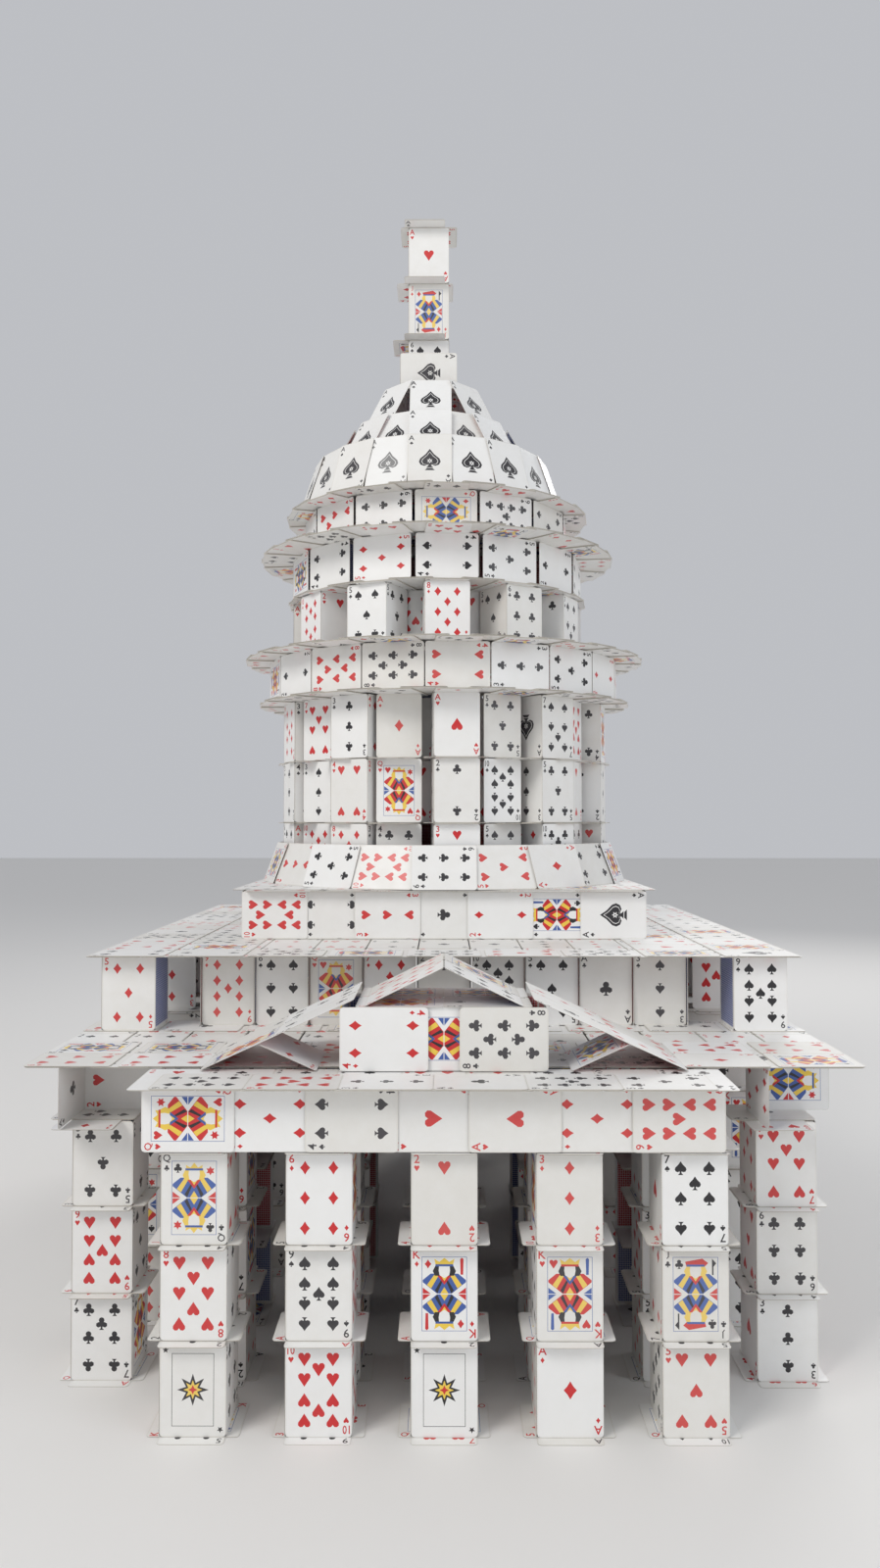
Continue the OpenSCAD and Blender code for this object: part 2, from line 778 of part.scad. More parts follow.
module dome_flats_upper() {
    color(paper) {
        around_tower(shift_dome) {
            ring_lying(dome_flat_r_1, floor_15 - dome_deck, true, dome_pile);
            ring_lying(dome_flat_r_2, floor_16 - dome_deck, true, dome_pile);
            for (y = [-1, 1])
                lying(0, y * (card_w + gap) / 2, floor_17 - dome_deck, 90, dome_pile);
        }
        around_tower(shift_spire)
            for (n = [1:3])
                lying(-spire_flat_aside, -spire_flat_ahead, floor_17 + n * spire_storey - column_deck,
                      0, column_pile);
    }
}

// Lantern box of broad cards around the foot of the spire, and the spire of three storeys
module lantern_box() {
    color(paper) around_tower(shift_spire) cell(0, 0, floor_17, 0, false, card_h);
}

module spire_cells() {
    color(paper)
        around_tower(shift_spire)
            for (n = [0:2]) cell(0, 0, floor_17 + n * spire_storey);
}

ground_flats_lower();
ground_flats_upper();
portico_columns_storey_1();
portico_columns_storey_2();
portico_columns_storey_3();
hall_columns_storey_1();
hall_columns_storey_2();
hall_columns_storey_3();
column_flats_lower();
column_flats_upper();
entablature_cards();
mezzanine_cells();
portico_roof_lower();
portico_roof_upper();
wing_roof_lower();
wing_roof_upper();
attic_box();
attic_flats();
pediment_lower_slopes();
pediment_upper_slopes();
pediment_props();
pediment_gable();
upper_storey_walls();
upper_storey_cells();
main_roof_lower();
main_roof_upper();
plinth_walls();
plinth_cells();
plinth_roof_lower();
plinth_roof_upper();
plinth_skirt();
colonnade_columns_storey_1();
colonnade_columns_storey_2();
colonnade_columns_storey_3();
colonnade_panels();
colonnade_flats_lower();
colonnade_flats_upper();
ring_1_lower();
ring_1_upper();
band_1();
ring_2_lower();
ring_2_upper();
band_2();
ring_3_lower();
ring_3_upper();
band_3();
ring_4_lower();
ring_4_upper();
band_4();
ring_5_lower();
ring_5_upper();
dome_row_1();
dome_row_2();
dome_row_3();
dome_core();
dome_flats_lower();
dome_flats_upper();
lantern_box();
spire_cells();
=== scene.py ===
"""A domed public building made of loose playing cards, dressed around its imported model."""
import math
import random
from dataclasses import dataclass

import bmesh
import bpy
import numpy as np
from mathutils import Matrix, Vector
from mathutils.geometry import delaunay_2d_cdt


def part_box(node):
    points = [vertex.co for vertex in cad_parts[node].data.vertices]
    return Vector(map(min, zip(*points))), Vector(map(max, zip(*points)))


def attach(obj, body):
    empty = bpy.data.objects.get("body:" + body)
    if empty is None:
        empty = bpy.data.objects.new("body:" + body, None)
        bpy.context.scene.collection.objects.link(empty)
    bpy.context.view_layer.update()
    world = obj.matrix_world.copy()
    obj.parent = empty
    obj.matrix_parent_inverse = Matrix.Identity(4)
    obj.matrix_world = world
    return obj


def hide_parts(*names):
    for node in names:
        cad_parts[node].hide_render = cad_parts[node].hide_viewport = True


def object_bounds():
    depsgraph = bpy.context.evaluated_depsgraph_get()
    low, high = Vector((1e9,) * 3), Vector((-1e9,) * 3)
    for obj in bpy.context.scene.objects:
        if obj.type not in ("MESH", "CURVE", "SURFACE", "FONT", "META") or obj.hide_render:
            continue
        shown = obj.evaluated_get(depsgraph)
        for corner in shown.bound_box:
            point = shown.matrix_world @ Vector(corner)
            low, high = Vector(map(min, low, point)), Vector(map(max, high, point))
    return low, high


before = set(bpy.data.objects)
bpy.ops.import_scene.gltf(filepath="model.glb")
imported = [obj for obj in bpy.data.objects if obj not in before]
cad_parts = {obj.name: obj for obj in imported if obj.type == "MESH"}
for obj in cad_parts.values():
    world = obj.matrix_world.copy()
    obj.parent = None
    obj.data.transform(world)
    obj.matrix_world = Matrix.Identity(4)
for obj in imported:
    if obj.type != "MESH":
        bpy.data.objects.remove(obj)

cad_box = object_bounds()
scene = bpy.context.scene
scene.view_settings.view_transform = "Standard"
mm = 0.001

# Viewpoint: a standing look at the portico from just over a metre away, level with the
# upper storey and tipped up a little, so that the whole tower fits the tall frame.
portico_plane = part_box("portico_columns_storey_1")[0][1]
camera_away = 1.082
camera_height = 0.585
tip_up = math.radians(1.74)
look_left = math.radians(0.2)
focal_px, frame_px, film = 1150, 1600, 36.0
camera_data = bpy.data.cameras.new("camera")
camera_data.sensor_width = film
camera_data.lens = film * focal_px / frame_px
camera = bpy.data.objects.new("camera", camera_data)
camera.location = (0, portico_plane - camera_away, camera_height)
camera.rotation_euler = (math.pi / 2 + tip_up, 0, look_left)
scene.collection.objects.link(camera)
scene.camera = camera


# Card stock: poker-size cards of coated paper board with rounded corners, printed on both
# sides. Each face is one flat sheet, cut into fields of ink and of bare board.
card_w, card_h, card_t = 63 * mm, 88 * mm, 0.3 * mm
corner_r = 3.5 * mm
corner_steps = 2


class Wire:
    """A value that runs through a material: sums and products of wires add Math nodes."""

    def __init__(self, tree, socket=None):
        self.tree, self.socket = tree, socket

    def node(self, kind, settings=None, out=0, **values):
        """A node of a kind, its inputs given by name, or by number as i0, i1 and so on."""
        made = self.tree.nodes.new("ShaderNode" + kind)
        for name, value in (settings or {}).items():
            setattr(made, name, value)
        for name, value in values.items():
            key = int(name[1:]) if name[1:].isdigit() else name.replace("_", " ")
            if isinstance(value, Wire):
                self.tree.links.new(value.socket, made.inputs[key])
            else:
                made.inputs[key].default_value = value
        return Wire(self.tree, made.outputs[out])

    def maths(self, operation, other=0.0):
        return self.node("Math", {"operation": operation}, i0=self, i1=other)

    def __add__(self, other):
        return self.maths("ADD", other)

    def __mul__(self, other):
        return self.maths("MULTIPLY", other)

    def __sub__(self, other):
        return self.maths("SUBTRACT", other)

    def __rsub__(self, other):
        return self.node("Math", {"operation": "SUBTRACT"}, i0=other, i1=self)

    __radd__, __rmul__ = __add__, __mul__

    def above(self, edge, soft):
        """0 below an edge and 1 above it, with a soft step between."""
        return self.node("MapRange", {"interpolation_type": "SMOOTHSTEP"},
                         Value=self, From_Min=edge - soft, From_Max=edge + soft)

    def mixed(self, start, end):
        """The colour that lies this far from a start colour to an end colour."""
        return self.node("Mix", {"data_type": "RGBA"}, out=2, i0=self, i6=start, i7=end)


rubbed_edge, rubbed_blur = 1.1 * mm, 0.9 * mm
linen_pitch = 0.8 * mm
blotch_scale, fibre_scale = 55.0, 900.0
relief_depth = 0.1 * mm


def on_the_card(start):
    """How far a point lies across and along its card, from the card's own map."""
    place = start.node("TexCoord", out=2)
    return (start.node("SeparateXYZ", out=axis, Vector=place) for axis in (0, 1))


def card_finish(name, colour, worn, roughness, emboss):
    """Coated board or ink, mottled and rubbed along the edges, with a fine linen emboss."""
    material = bpy.data.materials.new(name)
    material.use_nodes = True
    tree = material.node_tree
    shader = tree.nodes["Principled BSDF"]
    start = Wire(tree)
    x, y = on_the_card(start)
    from_side = card_w / 2 - x.maths("ABSOLUTE")
    from_end = card_h / 2 - y.maths("ABSOLUTE")
    building = start.node("TexCoord", out=3)
    handling = start.node("TexNoise", Vector=building, Scale=blotch_scale, Detail=3.0, Roughness=0.6)
    fibre = start.node("TexNoise", Vector=building, Scale=fibre_scale, Detail=2.0)
    age = start.node("Attribute", {"attribute_name": "age"}, out=2)
    rubbed = 1 - from_side.maths("MINIMUM", from_end).above(rubbed_edge, rubbed_blur)
    wear = age * 0.5 + handling * 0.35 + rubbed * 0.3 + fibre * 0.1
    tint = wear.above(0.55, 0.5).mixed((*colour, 1), (*worn, 1))
    tree.links.new(tint.socket, shader.inputs["Base Color"])
    gloss = handling * 0.16 + rubbed * 0.1 + (roughness - 0.08)
    tree.links.new(gloss.socket, shader.inputs["Roughness"])
    threads = math.tau / linen_pitch
    linen = (x * threads).maths("SINE") * (y * threads).maths("SINE")
    relief = linen * emboss + fibre * 0.4 + handling * 0.6
    bump = start.node("Bump", Strength=0.12, Distance=relief_depth, Height=relief)
    tree.links.new(bump.socket, shader.inputs["Normal"])
    return material


lattice_pitch = 5.2 * mm
lattice_cover = 0.62


def back_finish(name, ink, paper):
    """The back of a card: a field of ink with a plain diamond lattice of bare board."""
    material = card_finish(name, ink, tuple(0.7 * c + 0.25 for c in ink), 0.36, 0.3)
    tree = material.node_tree
    shader = tree.nodes["Principled BSDF"]
    x, y = on_the_card(Wire(tree))
    turn = math.tau / lattice_pitch
    lattice = ((x + y) * turn).maths("COSINE") + ((x - y) * turn).maths("COSINE")
    lines = lattice.above(-0.55, 0.12) * (1 - lattice.above(0.35, 0.12))
    plain = Wire(tree, shader.inputs["Base Color"].links[0].from_socket)
    tint = (lines * lattice_cover).mixed(plain, (*paper, 1))
    tree.links.new(tint.socket, shader.inputs["Base Color"])
    return material


board_white = (0.86, 0.86, 0.85)
board_worn = (0.72, 0.70, 0.65)
red_ink = (0.60, 0.018, 0.022)
black_ink = (0.018, 0.017, 0.02)
blue_ink = (0.05, 0.11, 0.36)
yellow_ink = (0.86, 0.60, 0.07)
grey_ink = (0.21, 0.21, 0.21)
finishes = [
    card_finish("board", board_white, board_worn, 0.42, 0.3),
    card_finish("red_ink", red_ink, (0.66, 0.12, 0.11), 0.34, 0.3),
    card_finish("black_ink", black_ink, (0.09, 0.085, 0.09), 0.34, 0.3),
    card_finish("blue_ink", blue_ink, (0.12, 0.18, 0.42), 0.34, 0.3),
    card_finish("yellow_ink", yellow_ink, (0.84, 0.62, 0.20), 0.36, 0.3),
    back_finish("red_back", (0.50, 0.02, 0.03), board_white),
    back_finish("blue_back", (0.03, 0.07, 0.30), board_white),
    card_finish("cut_edge", (0.62, 0.59, 0.53), (0.45, 0.42, 0.37), 0.75, 0.0),
    card_finish("faded_ink", grey_ink, (0.30, 0.30, 0.29), 0.4, 0.3),
]
BOARD, RED, BLACK, BLUE, YELLOW, RED_BACK, BLUE_BACK, EDGE, GREY = range(len(finishes))


# Print: every mark, letter and figure is a plain shape with its own outline, in mm on the
# card or one unit high, and later shapes lie over earlier ones. The designs are this deck's own.
def arc(x, y, r, start, end, steps):
    """Points on a circle around x, y, from one angle to another in degrees."""
    turns = [math.radians(start + (end - start) * k / steps) for k in range(steps + 1)]
    return [(x + r * math.cos(a), y + r * math.sin(a)) for a in turns]


def mirrored(right):
    """The right half of a figure, from its foot up to its tip, and its mirror image."""
    return right + [(-x, y) for x, y in reversed(right) if abs(x) > 1e-6]


# The four suit marks, one unit high and centred, each drawn as its right half
stem = [(0.20, -0.5), (0.06, -0.36)]
SUITS = {
    "D": mirrored([(0, -0.5), (0.17, -0.22), (0.37, 0), (0.17, 0.22), (0, 0.5)]),
    "H": mirrored([(0, -0.5), (0.20, -0.20)] + arc(0.23, 0.25, 0.235, -25, 165, 4) + [(0, 0.24)]),
    "S": mirrored(stem + arc(0.22, -0.09, 0.21, -135, 40, 4) + [(0.16, 0.26), (0, 0.5)]),
    "C": mirrored(stem + arc(0.245, -0.10, 0.215, -140, 90, 4) + arc(0, 0.27, 0.23, -42, 90, 3)),
}
INKS = {"D": RED, "H": RED, "S": BLACK, "C": BLACK}


def placed(points, x, y, size=1, flip=False):
    """A figure at its place on the card, turned upside down if flipped."""
    grown = -size if flip else size
    return [(x + grown * px, y + grown * py) for px, py in points]


def both_ends(points, x, y, size, ink):
    """A figure towards the top left of the card, and again turned round at the other end."""
    return [(placed(points, -x, y, size), ink), (placed(points, x, -y, size, flip=True), ink)]


glyphs = {}
smallest_face = 0.0005


def glyph(letters):
    """The faces of an index letter or number, one unit high and centred."""
    if letters not in glyphs:
        curve = bpy.data.curves.new("index", "FONT")
        curve.body = letters
        curve.resolution_u = 1 if letters == "J" else 2
        curve.offset = 0.012
        text = bpy.data.objects.new("index", curve)
        mesh = text.to_mesh()
        spots = np.array([v.co[:2] for v in mesh.vertices])
        low, high = spots.min(0), spots.max(0)
        spots = (spots - (low + high) / 2) / (high[1] - low[1])
        faces = [face for face in mesh.polygons
                 if face.area > smallest_face * (high[1] - low[1]) ** 2]
        glyphs[letters] = [[tuple(spots[k]) for k in face.vertices] for face in faces]
        text.to_mesh_clear()
        bpy.data.objects.remove(text)
        bpy.data.curves.remove(curve)
    return glyphs[letters]


# Rows and columns of the marks on a number card, in mm from its middle
end_row, inner_row, ten_row, side = 28.5, 9.5, 19.0, 13.5


def marks(rank):
    """Every mark's place on a number card, and whether it stands upside down."""
    columns = (0,) if rank in ("2", "3") else (side, -side)
    rows = (end_row, inner_row) if rank in ("9", "10") else (end_row,)
    spots = []
    for x in columns:
        for y in rows:
            spots += [(x, y, False), (x, -y, True)]
    if rank in ("6", "7", "8"):
        spots += [(side, 0, False), (-side, 0, False)]
    if rank in ("7", "8"):
        spots += [(0, end_row / 2, False)]
    if rank == "8":
        spots += [(0, -end_row / 2, True)]
    if rank in ("3", "5", "9"):
        spots += [(0, 0, False)]
    if rank == "10":
        spots += [(0, ten_row, False), (0, -ten_row, True)]
    return spots


def court_half(rank, suit, flip):
    """Half a court figure in plain shapes: robe, collar, hair, a bare face, headgear, a staff."""
    cloth, trim = (RED, BLUE) if suit in "HS" else (BLUE, RED)
    hair = BLACK if rank == "K" else YELLOW
    hat = {
        "K": [(-8, 26.2), (-9.6, 33), (-4.8, 30), (0, 33.8), (4.8, 30), (9.6, 33), (8, 26.2)],
        "Q": [(-7.4, 26.2), (-8, 31), (-3.6, 28.6), (0, 33.2), (3.6, 28.6), (8, 31), (7.4, 26.2)],
        "J": [(-8.6, 26), (-9.8, 30.4), (6.5, 33.4), (12, 29.2), (8.8, 26)],
    }[rank]
    staff = {
        "K": ([(15.4, 18), (15, 32.6), (16.6, 34), (18.2, 32.6), (17.8, 18)], trim),
        "Q": (placed(star(6, 4.4, 2.4), 15.4, 25.5), RED),
        "J": ([(15.6, 18), (15.6, 33.4), (19.6, 29), (17, 25.6), (17, 18)], BLACK),
    }[rank]
    shapes = [
        ([(-20.5, 0.4), (-20.5, 13), (-13, 19), (13, 19), (20.5, 13), (20.5, 0.4)], cloth),
        ([(-20.5, 0.4), (-20.5, 9.5), (-9.5, 0.4)], trim),
        ([(9.5, 0.4), (20.5, 9.5), (20.5, 0.4)], trim),
        ([(-20.5, 6), (-20.5, 11), (-7, 0.4), (-13, 0.4)], BOARD),
        ([(13, 0.4), (7, 0.4), (20.5, 11), (20.5, 6)], BOARD),
        ([(-16.5, 8.4), (-9.5, 18), (-5, 18), (-12.5, 5.2)], YELLOW),
        ([(12.5, 5.2), (5, 18), (9.5, 18), (16.5, 8.4)], YELLOW),
        ([(-9, 3.4), (-2.6, 14), (-0.8, 14), (-6.6, 0.4)], BLACK),
        ([(6.6, 0.4), (0.8, 14), (2.6, 14), (9, 3.4)], BLACK),
        ([(-3.8, 0.4), (0, 6.4), (3.8, 0.4)], YELLOW),
        ([(-8, 19), (0, 8.6), (8, 19)], trim),
        ([(-4.6, 19), (0, 12), (4.6, 19)], YELLOW),
        ([(-9, 17), (-11, 21.4), (-8.4, 26.6), (8.4, 26.6), (11, 21.4), (9, 17)], hair),
        ([(-4.6, 17.6), (-5.4, 22), (-5, 26.4), (5, 26.4), (5.4, 22), (4.6, 17.6), (0, 14.8)], BOARD),
        staff,
        (hat, trim if rank == "J" else YELLOW),
        ([(-8.4, 25.8), (-8.4, 27.8), (8.4, 27.8), (8.4, 25.8)], cloth),
    ]
    return [(placed(points, 0, 0, flip=flip), ink) for points, ink in shapes]


def framed(half_w, half_h, ink, line):
    """A printed frame: a field of ink with bare board inside it."""
    outer = [(-half_w, -half_h), (half_w, -half_h), (half_w, half_h), (-half_w, half_h)]
    inner = [(x - math.copysign(line, x), y - math.copysign(line, y)) for x, y in outer]
    return [(outer, ink), (inner, BOARD)]


def star(points, outer, inner):
    """A star around the origin, given the radii of its points and of its notches."""
    turns = [math.pi * k / points + math.pi / 2 for k in range(2 * points)]
    return [((inner if k % 2 else outer) * math.cos(a), (inner if k % 2 else outer) * math.sin(a))
            for k, a in enumerate(turns)]


def ornate_spade(ink):
    """The large mark of the ace of spades: a light line in a spade, and a star with a diamond."""
    return [
        (placed(SUITS["S"], 0, 0, 36), ink),
        (placed(SUITS["S"], 0, -0.5, 28), BOARD),
        (placed(SUITS["S"], 0, -0.7, 25.8), ink),
        (placed(star(6, 4.6, 2.2), 0, -2.2), BOARD),
        (placed(SUITS["D"], 0, -2.2, 3.4), ink),
    ]


# The print's sizes on a card, in mm, and where the index and the mark under it stand
mark_size, ace_size, court_mark_size = 13, 17, 8.6
index_size, index_mark_size = 8.2, 5.6
index_x, index_y, index_mark_y = 26.2, 37, 28
court_mark_x, court_mark_y = 15.5, 28
squeezed_ten = 0.78


def face_print(name):
    """All the shapes printed on the face of one card, in mm, the later ones over the earlier."""
    if name == "blank":
        return []
    if name == "joker":
        shapes = framed(20, 34, BLACK, 0.5)
        shapes += [(star(8, 15, 7), BLACK), (star(8, 9, 4.5), YELLOW), (star(4, 4.5, 2), RED)]
        return shapes + both_ends(star(5, 3.2, 1.4), 26, index_y, 1, BLACK)
    rank, suit = name.removeprefix("faded ")[:-1], name[-1]
    ink = GREY if name.startswith("faded") else INKS[suit]
    shapes = []
    if rank in "JQK":
        shapes += framed(21.4, 34.8, BLUE, 0.45)
        shapes += court_half(rank, suit, False) + court_half(rank, suit, True)
        shapes += both_ends(SUITS[suit], court_mark_x, court_mark_y, court_mark_size, ink)
    elif rank == "A" and suit == "S":
        shapes += ornate_spade(ink)
    elif rank == "A":
        shapes.append((placed(SUITS[suit], 0, 0, ace_size), ink))
    else:
        shapes += [(placed(SUITS[suit], x, y, mark_size, flip), ink) for x, y, flip in marks(rank)]
    squeeze = squeezed_ten if rank == "10" else 1.0
    for part in glyph(rank):
        narrow = [(x * squeeze, y) for x, y in part]
        shapes += both_ends(narrow, index_x, index_y, index_size, ink)
    return shapes + both_ends(SUITS[suit], index_x, index_mark_y, index_mark_size, ink)


def card_outline():
    """The rounded outline of a card, anticlockwise."""
    points = []
    for k, (sx, sy) in enumerate(((1, 1), (-1, 1), (-1, -1), (1, -1))):
        x, y = sx * (card_w / 2 - corner_r), sy * (card_h / 2 - corner_r)
        points += arc(x, y, corner_r, 90 * k, 90 * k + 90, corner_steps)
    return points


def cut_along_print(name, outline):
    """The face of a card cut along its print: the corners, and each field's corners and ink."""
    spots, rings, inks = list(outline), [list(range(len(outline)))], [BOARD]
    for points, ink in face_print(name):
        area = sum(x0 * y1 - x1 * y0 for (x0, y0), (x1, y1) in zip(points, points[1:] + points[:1]))
        points = points if area > 0 else points[::-1]
        rings.append(list(range(len(spots), len(spots) + len(points))))
        spots += [(x * mm, y * mm) for x, y in points]
        inks.append(ink)
    corners, _, fields, _, _, sources = delaunay_2d_cdt(
        [Vector(spot) for spot in spots], [], rings, 1, 1e-6, True)
    return corners, [(field, inks[max(source)]) for field, source in zip(fields, sources)]


templates = {}
back_border = 3.2 * mm


def printed_card(name, back):
    """The mesh of one card: a face cut along its print, a bordered back and a cut edge."""
    if (name, back) in templates:
        return templates[name, back]
    outline = card_outline()
    bm = bmesh.new()
    foot = bm.faces.new([bm.verts.new((x, y, -card_t / 2)) for x, y in reversed(outline)])
    foot.material_index = BOARD
    raised = bmesh.ops.extrude_face_region(bm, geom=[foot], use_keep_orig=True)["geom"]
    lifted = [item for item in raised if isinstance(item, bmesh.types.BMVert)]
    bmesh.ops.translate(bm, verts=lifted, vec=(0, 0, card_t))
    lid = [item for item in raised if isinstance(item, bmesh.types.BMFace)]
    bmesh.ops.delete(bm, geom=lid, context="FACES_ONLY")
    sides = [face for face in bm.faces if len(face.verts) == 4]
    for face in sides:
        face.material_index = EDGE
    if back != BOARD:
        bmesh.ops.inset_region(bm, faces=[foot], thickness=back_border, use_even_offset=True)
        foot.material_index = back
    corners, fields = cut_along_print(name, outline)
    tops = [bm.verts.new((x, y, card_t / 2)) for x, y in corners]
    for field, ink in fields:
        face = bm.faces.new([tops[k] for k in field])
        face.material_index = ink
    bmesh.ops.remove_doubles(bm, verts=bm.verts, dist=0.002 * mm)
    bmesh.ops.recalc_face_normals(bm, faces=bm.faces)
    flat = bm.loops.layers.uv.new("card")
    for face in bm.faces:
        for loop in face.loops:
            loop[flat].uv = loop.vert.co.xy
    mesh = bpy.data.meshes.new(f"template_{name}_{back}")
    bm.to_mesh(mesh)
    bm.free()
    mesh.attributes.new("age", "FLOAT", "POINT")
    templates[name, back] = mesh
    return mesh


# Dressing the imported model: every card and pile is found in its node's mesh, turned so that
# its print faces out, and drawn again card by card.
@dataclass
class Place:
    """Where one card or pile is: its middle, its axes across, along and out of its face, how
    many cards thick it is, whether it lies flat, and how squarely it faces away from inside."""
    middle: Vector
    across: Vector
    along: Vector
    out: Vector
    pile: int
    lying: bool = False
    squarely: float = 0.0


def cards_of(node):
    """Every card or pile in a node, found as the separate pieces of its mesh."""
    bm = bmesh.new()
    bm.from_mesh(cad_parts[node].data)
    bmesh.ops.remove_doubles(bm, verts=bm.verts, dist=0.001 * mm)
    places, left = [], set(bm.verts)
    while left:
        reached, edge = set(), [left.pop()]
        while edge:
            vert = edge.pop()
            reached.add(vert)
            for link in vert.link_edges:
                other = link.other_vert(vert)
                if other in left:
                    left.discard(other)
                    edge.append(other)
        spots = np.array([v.co[:] for v in reached])
        middle = Vector((spots.max(0) + spots.min(0)) / 2)
        axes = np.linalg.eigh(np.cov((spots - spots.mean(0)).T))[1]
        out, across, along = (Vector(axes[:, k]) for k in range(3))
        heights = spots @ axes[:, 0]
        pile = round((heights.max() - heights.min()) / card_t)
        places.append(Place(middle, across, along, out, pile))
    bm.free()
    places.sort(key=lambda place: tuple(round(c, 4) for c in place.middle))
    return places


ranks = ("A", "2", "3", "4", "5", "6", "7", "8", "9", "10", "J", "Q", "K")
deck = [rank + suit for suit in "SHDC" for rank in ranks]
low_cards = [rank + suit for suit in "SHDC" for rank in ranks[:5]]
upwards = Vector((0, 0, 1))
flat_from, upright_from, front_from = 0.6, 0.3, 0.3


def turn_out(place, inside, chance, face_down, settled):
    """Turns a place's axes: its print away from the inside, and the tips of the figures up, or
    to the left on a card that stands on its long side. Half are turned round at random."""
    away = place.middle - inside
    away.z = 0
    place.lying = abs(place.out.z) > flat_from
    if place.lying:
        outward, tip = place.out.z * (-1 if face_down else 1), Vector((1, 0.3, 0))
    else:
        outward, tip = place.out.dot(away), upwards
    if outward < 0:
        place.out = -place.out
    if not place.lying and abs(place.along.z) < upright_from:
        tip = place.out.cross(upwards)
    if place.along.dot(tip) < 0:
        place.along = -place.along
    if chance.random() < 0.5 and not settled:
        place.along = -place.along
    place.across = place.along.cross(place.out)
    place.squarely = place.out.dot(away) / max(away.length, 1e-6)


def front_cards(places, depth, facing):
    """The standing cards seen from the front, storey by storey and from left to right."""
    front = [place for place in places
             if place.out.y < -front_from and not place.lying and place.squarely > facing]
    foremost = min((place.middle.y for place in front), default=0)
    front = [place for place in front if place.middle.y < foremost + depth]
    return sorted(front, key=lambda place: (-round(place.middle.z, 2), place.middle.x))


# A pile is ragged: its hidden cards are pushed in a little and turned a trifle, and drawn a
# hair smaller, so that none passes the CAD. The lowest is turned over, to show its face below.
pushed_in = 1.1 * mm
turned_a_trifle = math.radians(0.3)
shrunk_to = 0.996
print_below = 0.3
seen_below = ("AD", "2D", "AH", "AC", "2H")


def draw_pile(bm, place, name, hub, chance):
    """Adds a card, or the cards of a pile from the printed top one down, to a mesh."""
    age = chance.random() ** 2
    inward = (hub - place.middle) * Vector((1, 1, 0))
    inward.normalize()
    stand = Matrix((place.across, place.along, place.out)).transposed().to_4x4()
    for level in range(place.pile):
        lowest = level > 0 and level == place.pile - 1
        face = name if level == 0 else "blank"
        if lowest and chance.random() < print_below:
            face = chance.choice(seen_below)
        back = RED_BACK if chance.random() < 0.5 else BLUE_BACK
        mesh = printed_card(face, BOARD if level else back).copy()
        mesh.attributes["age"].data.foreach_set("value", [age] * len(mesh.vertices))
        spot = place.middle + place.out * ((place.pile - 1) / 2 - level) * card_t
        skew = Matrix.Rotation(math.pi if lowest else 0, 4, "Y")
        if level:
            spot += inward * pushed_in * (0.3 + 0.7 * chance.random())
            skew @= Matrix.Scale(shrunk_to, 4)
            skew @= Matrix.Rotation(turned_a_trifle * (chance.random() - 0.5), 4, "Z")
        mesh.transform(Matrix.Translation(spot) @ stand @ skew)
        bm.from_mesh(mesh)
        bpy.data.meshes.remove(mesh)


def lay_cards(node, seen=(), inside=None, depth=math.inf, facing=0.0, only=None,
              face_down=False, settled=False):
    """Prints every card of a node. seen names the front cards: those within depth of the
    foremost that face away from inside, or from the middle of the node, by at least facing.
    The others come from the deck, or from only. face_down turns the print of cards that lie
    downwards, and settled keeps every figure's tip up."""
    chance = random.Random(node)
    places = cards_of(node)
    hub = sum((place.middle for place in places), Vector()) / len(places)
    for place in places:
        turn_out(place, inside and inside(place.middle) or hub, chance, face_down, settled)
    named = {id(place): name for place, name in zip(front_cards(places, depth, facing), seen)}
    bm = bmesh.new()
    for place in places:
        hidden = place.squarely < 0.5 and not place.lying
        from_deck = only or (low_cards if hidden else deck)
        name = named.get(id(place)) or chance.choice(from_deck)
        draw_pile(bm, place, name, hub, chance)
    mesh = bpy.data.meshes.new(node + "_cards")
    bm.to_mesh(mesh)
    bm.free()
    for finish in finishes:
        mesh.materials.append(finish)
    piece = bpy.data.objects.new(node + "_cards", mesh)
    scene.collection.objects.link(piece)
    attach(piece, "root")
    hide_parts(node)


# Ground flats: two crossed cards under every column, to give it an even footing on the
# table. They are loose, and every standing card above is placed by them.
footings = [place.middle for place in cards_of("ground_flats_lower")]


def own_column(middle):
    """The middle of the column that a card belongs to."""
    return min(footings, key=lambda foot: (foot.xy - middle.xy).length)


lay_cards("ground_flats_lower")
lay_cards("ground_flats_upper")


# Portico: five box columns of four upright cards, three storeys high, each storey standing
# on a pair of flats.
lay_cards("portico_columns_storey_1", ["joker", "10H", "joker", "AD", "5H"], own_column)
lay_cards("portico_columns_storey_2", ["8H", "9S", "KD", "KH", "JC"], own_column)
lay_cards("portico_columns_storey_3", ["QC", "6D", "2H", "3D", "7S"], own_column)


# Hall: the same columns behind the portico and over both wings, with props inside, three
# storeys of them, and the flats that carry one storey on the next.
front_row = 20 * mm
lay_cards("hall_columns_storey_1", ["7C", "2S", "AS", "5D", "3C", "5C", "3C"], own_column, front_row)
lay_cards("hall_columns_storey_2", ["9H", "7S", "4H", "8S", "8C", "3C", "6C"], own_column, front_row)
lay_cards("hall_columns_storey_3", ["5C", "6D", "8S", "3H", "8D", "5C", "7H"], own_column, front_row)
lay_cards("column_flats_lower", only=low_cards)
lay_cards("column_flats_upper")


# Low storey over the columns: cards on their long edges, lapped along the front, with fins
# behind them and tees over the hall.
lapped_row = 30 * mm
lay_cards("entablature_cards", ["QH", "5D", "4S", "AH", "AH", "5D", "9H"], own_column, lapped_row)
wing_front = portico_plane + 0.2
wing_from = 0.28


def beyond_the_wing(middle):
    """The cards at the front of the wings face the middle of the portico."""
    on_wing = middle.y < wing_front and abs(middle.x) > wing_from
    return Vector((3 * middle.x, middle.y + 0.5, 0)) if on_wing else None


